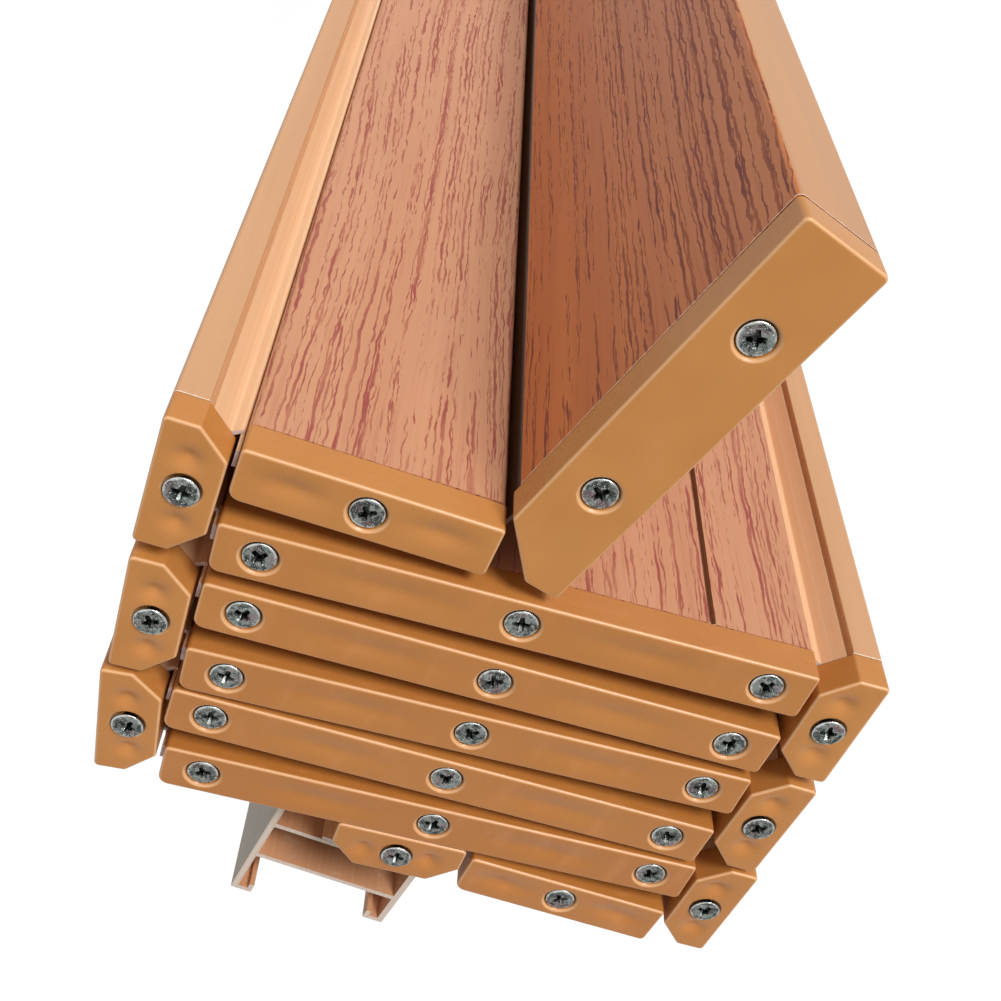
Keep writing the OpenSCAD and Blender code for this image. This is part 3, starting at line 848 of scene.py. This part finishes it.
def make_caps(i):
    outline = spaced(rounded(cap_outline(i), 4), 2.5)
    places, n = screw_places(i), len(outline)
    seat = PROUD_SEAT if is_slat(i) else SUNK_SEAT
    form = Form(CAP_TONE_AND_SHADE[i])
    rings = cap_rings(i, outline)
    # The rings of the rounded edge carry the painted highlight
    form.add(np.vstack(rings), ring_faces(len(rings), n, RISING), painted_light_shade=np.repeat(RIM_HIGHLIGHTS, n))
    form.add(rings[0], filled([rings[0][:, :2]])[:, ::-1])

    top = rings[-1][:, :2]
    loops = [top] + [circle(p, seat[0][0], SEAT_PARTS) for p in places]
    grid = hex_grid(top.min(0), top.max(0), GRID)
    near = np.min([np.linalg.norm(grid - p, axis=1) for p in places], axis=0)
    clear = (from_edge(grid, top) > GRID_EDGE) & (near > seat[0][0] + GRID_SEAT)
    grid = grid[inside(grid, top) & clear]
    flat = np.vstack([*loops, grid])
    height = CAP_D - sink(i, flat, top)
    form.add(np.c_[flat, height], filled(loops, grid))

    # Each seat starts at the heights of the face round it, and ends in one point on its axis
    count = len(seat)
    last = (count - 1) * SEAT_PARTS
    faces = ring_faces(count, SEAT_PARTS, SINKING)
    faces += [(last + a, last + (a + 1) % SEAT_PARTS, last + SEAT_PARTS) for a in range(SEAT_PARTS)]
    # Painted highlight on the rings of the seat's upper edge
    painted_light_shade = [*np.repeat([0, 0.6, 1, 0.6, *[0] * (count - 4)], SEAT_PARTS), 0]
    for k, p in enumerate(places):
        first = n + k * SEAT_PARTS
        rim_z = height[first:first + SEAT_PARTS]
        rows = [np.c_[circle(p, r, SEAT_PARTS), rim_z + z] for r, z in seat]
        form.add(np.vstack([*rows, [*p, CAP_D + seat[-1][1]]]), faces, painted_light_shade=painted_light_shade)
    for part in form.points:
        part[:, 2] += BODY_Z
    form.joined(form, True)
    piece = form.piece(f"{name_of(i)}_cap_pair", i, [cap_plastic], 40)
    settle(piece, name_of(i), f"{name_of(i)}_caps")


# Recess of a screw: reach, half width and inner corner at its top and at its floor, and how deep it is
CROSS_TOP = (1.8, 0.42, 0.6)
CROSS_LOW = (0.9, 0.24, 0.36)
CROSS_DEPTH = 1.2
CROSS_ROUNDS = (0.16, 0.16, 0.2)
# The recess is narrower by this share just under its edge, at this depth
CROSS_LIP = (0.93, 0.12)
# Rings of a head and shank: radius, height against the rim, and how much painted shade or, below 0, how much
# painted highlight
HEAD = ((3.06, 0.0, -0.6), (3.2, -0.06, -0.8), (3.3, -0.2, 0), (3.3, -0.3, 0.3), (SHANK_R, -1.95, 0.4),
        (SHANK_R, -SCREW_L + 3, 0.4), (0.15, -SCREW_L, 0.4))
HEAD_PARTS = 32
# Crown of a head, and the step round its middle
CROWN, STEP_DEPTH, STEP_R = 0.16, 0.1, 2.6
STEP_RINGS = (2.72, 2.5)
# Height of a head's rim against the cap's face, on a slat and elsewhere
PROUD_HEAD, SUNK_HEAD = SLAT_PROUD - 0.1, -0.38


def cross_loop(reach, half, corner, turn):
    corners = []
    for k in range(4):
        for p, r in zip(((reach, -half), (reach, half), (corner, corner)), CROSS_ROUNDS):
            corners.append((*turned(p, 90 * k + turn), r))
    return rounded(corners, 2)


def screw_form(place, turn, top_z):
    """A countersunk screw with a crosswise recess, its head's rim at the given height."""
    form = Form()
    rows = [at_height(circle(place, r, HEAD_PARTS), top_z + z) for r, z, _ in HEAD]
    tip = (len(HEAD) - 1) * HEAD_PARTS
    faces = [*ring_faces(len(HEAD), HEAD_PARTS, FALLING), tuple(range(tip, tip + HEAD_PARTS))[::-1]]
    form.add(np.vstack(rows), faces, painted_light_shade=np.repeat([m for _, _, m in HEAD], HEAD_PARTS))

    wide = cross_loop(*CROSS_TOP, turn) + place
    low = cross_loop(*CROSS_LOW, turn) + place
    tight = (wide - place) * CROSS_LIP[0] + place
    middle = np.vstack([circle(place, r, HEAD_PARTS) for r in STEP_RINGS])

    def dome(p):
        far = np.linalg.norm(p - place, axis=1)
        return top_z + CROWN * (1 - far ** 2 / HEAD[0][0] ** 2) - STEP_DEPTH * (far < STEP_R)

    loops = [circle(place, HEAD[0][0], HEAD_PARTS), wide]
    flat = np.vstack([*loops, middle])
    form.add(np.c_[flat, dome(flat)], filled(loops, middle))
    n, edge = len(wide), dome(wide)
    levels = [np.c_[wide, edge], np.c_[tight, edge - CROSS_LIP[1]], at_height(low, top_z - CROSS_DEPTH)]
    # Painted shade on the recess's lower walls and on its floor
    form.add(np.vstack(levels), ring_faces(len(levels), n, SINKING), painted_light_shade=np.repeat([0, 0, 0.8], n))
    form.add(levels[-1], filled([low]), painted_light_shade=np.full(n, 0.9))
    return form


def make_screws(i):
    form = Form()
    top = BODY_Z + CAP_D + (PROUD_HEAD if is_slat(i) else SUNK_HEAD)
    for k, place in enumerate(screw_places(i)):
        for a, b, below in ((37, 53, False), (71, 29, True)):
            form.joined(screw_form(np.array(place), (a * i + b * k) % 90, top), below)
    piece = form.piece(f"{name_of(i)}_screw_set", i, [screw_steel], 34)
    settle(piece, name_of(i), f"{name_of(i)}_screws")


# Strips
STRIP_T = 0.8
# How far a strip lies off a face, how high it folds beside a leaf's end, how far it runs on between caps
STRIP_OFF = 0.48
FOLD_RISE = 3.6
TAB = 5.2
# Part between the caps: its reach along a leaf's end, half its thickness, its overlap with the strip
TAB_FROM, TAB_TO, TAB_HALF, TAB_LAP = -0.6, 3.0, 0.34, 0.4
# How near a strip comes to its seat's outer step and to the hinge corner, and its lifts there
SEAT_END, SEAT_START = 0.45, 1.2
SEAT_LIFT, CORNER_LIFT = 0.05, 0.15
# Half the wall strip's foot, its chamfer, and its gap to the web
FOOT_HALF, FOOT_EDGE, FOOT_GAP = 3.9, 0.2, 0.1


def eased(points, radius=0.9):
    """An open line with its inner corners rounded."""
    points = [np.asarray(p, float) for p in points]
    made = [points[0]]
    for before, p, after in zip(points, points[1:], points[2:]):
        a, b = before - p, after - p
        reach = min(radius, np.linalg.norm(a) / 2.1, np.linalg.norm(b) / 2.1)
        first, last = p + unit(a) * reach, p + unit(b) * reach
        made += [(1 - s) ** 2 * first + 2 * s * (1 - s) * p + s * s * last for s in np.linspace(0, 1, 7)]
    return np.array([*made, points[-1]])


def sides_of(line):
    """The left and right faces of a strip along its middle line."""
    side = left_of(np.gradient(line, axis=0)) * STRIP_T / 2
    return line + side, line - side


def bead(point, way, across=None):
    across = np.array([-way[1], way[0]]) if across is None else across
    return bulb(point, way, across, BEAD_R, STRIP_T / 2, 13)


def band_outline(line, foot=None):
    """Outline of a strip round its middle line, with a bead at its last point and one beside it at foot."""
    far, near = sides_of(line)
    last = bead(line[-1], unit(line[-1] - line[-2]))
    if foot is not None:
        spot, inward = foot[0], unit(foot[1])
        along = unit(line[1] - line[0])
        if inward @ (-along[1], along[0]) > 0:
            far, near, last = near, far, last[::-1]
        start, end = (spot + k * along * STRIP_T / 2 - inward * 0.1 for k in (-1, 1))
        neck = [start, *bead(spot + inward * (NECK_L + GROOVE_R), inward, along), end]
        beyond = next(k for k in range(1, len(near)) if (near[k] - end) @ along > 0.05)
        near = [near[0], *neck, *near[beyond:]]
    return np.array([*near[:-1], *last, *far[-2::-1]])


def ribbon(line):
    """Outline of a strip with a bead at both ends of its middle line."""
    left, right = sides_of(line)
    return np.array([*right[1:-1], *bead(line[-1], unit(line[-1] - line[-2])),
                     *left[-2:0:-1], *bead(line[0], unit(line[0] - line[1]))])


def without_knots(loop, reach=16):
    """The loop less the small knots that it ties where a bend is tighter than the strip is thick."""
    loop = [np.asarray(p, float) for p in loop]
    k = 0
    while k < len(loop):
        count = len(loop)
        for m in range(k + reach, k + 1, -1):
            ends = [loop[n % count] for n in (k, k + 1, m, m + 1)]
            met = intersect_line_line_2d(*ends) if m + 1 < k + count else None
            if met is not None:
                dropped = {n % count for n in range(k + 2, m + 1)}
                loop[(k + 1) % count] = np.array(met)
                loop = [p for n, p in enumerate(loop) if n not in dropped]
                break
        k += 1
    return np.array(loop)


def make_strip_piece(name, outline, node, materials, tab=None):
    """A strip along the height, from body a across the hinge to body b. Its tab runs on between the caps."""
    outline = without_knots(outline)
    (u, v), (next_u, next_v) = outline.T, np.roll(outline, -1, 0).T
    if np.sum(u * next_v - v * next_u) < 0:
        outline = outline[::-1]
    form = Form()
    form.prism(outline, [], -BODY_Z, BODY_Z, end_slot=1)
    if tab is not None:
        for z in (BODY_Z - TAB_LAP, -BODY_Z - TAB):
            form.prism(tab, [], z, z + TAB + TAB_LAP, end_slot=1)
    piece = form.piece(name, None, materials, 50)
    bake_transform(piece)
    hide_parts(node)


def anchored(i, spot, inward):
    """Middle of a bead in its groove, and the point where its strip comes out."""
    return [on(i, spot + inward * (NECK_L + GROOVE_R)), on(i, spot - inward * STRIP_OFF)]


def make_hinge_strip(i, j):
    """The strip between slat or post i and leaf j."""
    turn = -1 if i > j else 1
    hinge = on(i, hinge_point(i, i < j))

    def beside(off, rise=0.0):
        """Point off the leaf's end, and up along it."""
        return on(j, (turn * side_of(j) * (width(j) / 2 + off), rise))

    leaf_end = beside(STRIP_OFF)
    foot, tab, bend = None, None, [hinge]
    if i in (0, POST):
        flat = np.array([SLAT_T / 2 - SLAT_WALL - GROOVE_R, -SLAT_HALF]), np.array([0.0, 1.0])
        spot, inward = post_groove() if i else flat
        start = anchored(i, spot, inward)
    else:
        slat_side = turn * side_of(i)
        lift = STRIP_T / 2 + SEAT_LIFT
        far = SLAT_CUT * ROOT2 - SEAT - SEAT_END
        seat = (far, lift), (SEAT_START, lift + CORNER_LIFT)
        start = [on(i, chamfer_point(slat_side, *place)) for place in seat]
        inward = np.array([1.0, -slat_side]) / ROOT2
        foot = (on(i, chamfer_point(slat_side, ANCHOR)), turned(inward, angle(i)))
        middle = turn * side_of(j) * (width(j) / 2 + STRIP_OFF)
        tab = on(j, box(middle - TAB_HALF, TAB_FROM, middle + TAB_HALF, TAB_TO))
        if i < j:
            bend = [beside(STRIP_OFF, FOLD_RISE)]
    materials, node = [soft_strip, strip_end], f"{name_of(i)}_strips"
    if i == POST:
        materials, node, bend = [shaded_strip, shaded_end], "lead_post_strip", []
        hinge = (leaf_end + start[-1]) / 2
    line = eased([*start, *bend, leaf_end, beside(-NECK_L - GROOVE_R)])
    outline = band_outline(line, foot) if foot else ribbon(line)
    first, second = sorted((i, j))
    make_strip_piece(f"hinge_strip_{second + 1:02d}", outline,
                     node, materials, tab)


def make_wall_strip():
    """A foot on the channel's web, a stem through the hinge line, and a bead in the first slat."""
    spot, inward = chamfer_point(1, SLAT_CUT / ROOT2), np.array([1.0, -1.0]) / ROOT2
    low = np.array([WALL_HINGE[0], WEB_FRONT + FOOT_GAP + STRIP_T / 2])
    line = eased([low, WALL_HINGE, *reversed(anchored(0, spot, inward))])
    thick, edge = STRIP_T / 2, FOOT_HALF - FOOT_EDGE
    stem = [p for p in band_outline(line) if p[1] > low[1] + thick + 0.05]
    left = [(-thick, thick), (-edge, thick), (-FOOT_HALF, 0), (-edge, -thick)]
    right = [(-u, v) for u, v in reversed(left)]
    outline = np.array([*stem, *(low + left), *(low + right)])
    make_strip_piece("hinge_strip_01", outline,
                     "slat_1_strips", [soft_strip, strip_end])


# Wall channel: roundings of its edges and inner corners, and points of a round hole
EDGE_R, CORNER_R, HOLE_PARTS = 0.18, 0.3, 32


def make_channel_piece():
    half, inner = CHANNEL_W / 2, CHANNEL_W / 2 - CHANNEL_WALL
    web_back, top = WEB_T + WEB_GAP, WEB_FRONT + FLANGE_H

    def leg(side, reach):
        low, tip = WEB_T - reach, inner - LIP_W
        lip = [(tip, -reach, EDGE_R), (tip, low + LIP_UP, EDGE_R), (tip + WEB_T, low + LIP_UP, EDGE_R),
               (tip + WEB_T, low, 0), (inner, low, CORNER_R), (inner, 0, CORNER_R)]
        return [(side * u, v, r) for u, v, r in lip]

    front = [(half, top, EDGE_R), (inner, top, EDGE_R), (inner, WEB_FRONT, CORNER_R)]
    outer = rounded([(-half, -LEG_LEFT, EDGE_R), *leg(-1, LEG_LEFT), *reversed(leg(1, LEG_RIGHT)),
                     (half, -LEG_RIGHT, EDGE_R), *front, *[(-u, v, r) for u, v, r in reversed(front)]], 3)
    hollow = rounded([(*c, CORNER_R) for c in box(-inner, WEB_T, inner, web_back)], 3)
    form = Form()
    reach = inner - CORNER_R
    # The outer side walls take the painted shade of slot 1
    for loop, outward in ((outer, True), (hollow, False)):
        form.tube(loop, -BODY_Z, BODY_Z, outward, lambda p: abs(p[0]) > half - 0.05,
                  lambda a, b: abs(a[0] - b[0]) > reach)
    # The webs' flats, with their round holes
    for low, high, r in ((0.0, WEB_T, FIX_R), (web_back, WEB_FRONT, TOOL_R)):
        rims = [circle((0, z), r, HOLE_PARTS) for z in FIX_Z]
        loops = [box(-reach, -BODY_Z, reach, BODY_Z), *rims]
        flat, tri = np.vstack(loops), filled(loops)
        for level, order in ((low, 1), (high, -1)):
            form.add(np.insert(flat, 1, level, axis=1), tri[:, ::order], flat[tri[:, ::order]])
        for rim in rims:
            rings = [np.insert(rim, 1, v, axis=1) for v in (low, high)]
            form.add(np.vstack(rings), ring_faces(2, HOLE_PARTS, RISING))
    form.ends([outer, hollow], -BODY_Z, BODY_Z, 2)
    piece = form.piece("wall_channel_profile", None, [channel_plastic, channel_side_shade, channel_cut], 28)
    settle(piece, "wall", "wall_channel")


for i in range(POST + 1):
    make_profile(i)
    make_caps(i)
    make_screws(i)
    if i > 0 and (is_slat(i) or i == POST):
        make_hinge_strip(i, i - 1)
    if is_slat(i):
        make_hinge_strip(i, i + 1)
make_wall_strip()
make_channel_piece()


# Floor, light and camera
FLOOR_Z, FLOOR_REACH = -1.0005, 30.0
FLOOR_GREY, FLOOR_SHADE, FLOOR_GLOW = 0.8, 0.14, 0.92
AMBIENT = 0.3
SENSOR, LENS = 36.0, 48.33
CAMERA_AXES = ((0.44435, -0.89531, -0.03115), (0.69801, 0.36781, -0.6144), (0.56154, 0.25127, 0.78838))
CAMERA_AT = (0.255752, 0.074464, 1.183819)


class Studio(Nodes):
    """A tree that shows some rays another shader than the rest."""

    def __init__(self, owner):
        super().__init__(owner)
        self.tree.nodes.clear()

    def plain(self, kind, grey, **inputs):
        return self.node(kind, {"Color": (grey, grey, grey, 1), **inputs}).outputs[0]

    def split(self, target, rays, rest, seen):
        path = self.node("LightPath").outputs
        factor = path[rays[0]]
        for ray in rays[1:]:
            factor = self.math("MAXIMUM", factor, path[ray])
        pick = self.node("MixShader", {0: factor, 1: rest, 2: seen})
        self.node(target, {"Surface": pick.outputs[0]})


def make_floor():
    """A floor that is as bright as the background to the camera, and still takes the door's shade."""
    mesh = bpy.data.meshes.new("studio_floor")
    corners = box(-FLOOR_REACH, -FLOOR_REACH, FLOOR_REACH, FLOOR_REACH)
    mesh.from_pydata(at_height(corners, FLOOR_Z).tolist(), [], [(0, 1, 2, 3)])
    material = bpy.data.materials.new("studio_floor")
    s = Studio(material)
    glow, shade = s.plain("Emission", FLOOR_GLOW), s.plain("BsdfDiffuse", FLOOR_SHADE)
    both = s.node("AddShader", {0: glow, 1: shade}).outputs[0]
    rest = s.plain("BsdfDiffuse", FLOOR_GREY)
    s.split("OutputMaterial", ["Is Camera Ray"], rest, both)
    mesh.materials.append(material)
    placed("studio_floor", mesh)


def make_world():
    """White to the camera and in reflections, and dim as a light."""
    world = bpy.data.worlds.new("studio")
    bpy.context.scene.world = world
    s = Studio(world)
    dim, white = (s.plain("Background", 1.0, Strength=strength) for strength in (AMBIENT, 1.0))
    s.split("OutputWorld", ["Is Camera Ray", "Is Glossy Ray", "Is Transmission Ray"], dim, white)


def make_sun(name, toward, strength, softness):
    """A soft distant light that comes from the given direction."""
    lamp = bpy.data.lights.new(name, "SUN")
    lamp.energy, lamp.angle = strength, math.radians(softness)
    sun = placed(name, lamp)
    sun.rotation_mode = "QUATERNION"
    sun.rotation_quaternion = Vector(toward).to_track_quat("Z", "Y")


def make_camera():
    lens = bpy.data.cameras.new("camera")
    lens.sensor_width, lens.lens = SENSOR, LENS
    lens.clip_start, lens.clip_end = 0.01, 100.0
    camera = placed("camera", lens)
    place = Matrix(CAMERA_AXES).transposed().to_4x4()
    place.translation = CAMERA_AT
    camera.matrix_world = place
    bpy.context.scene.camera = camera


make_floor()
make_world()
make_sun("key_light", (0.84, -0.2, 0.5), 2.7, 22)
make_sun("fill_light", (0.15, 0.35, 0.9), 0.45, 90)
make_camera()
bpy.context.scene.view_settings.view_transform = "Standard"
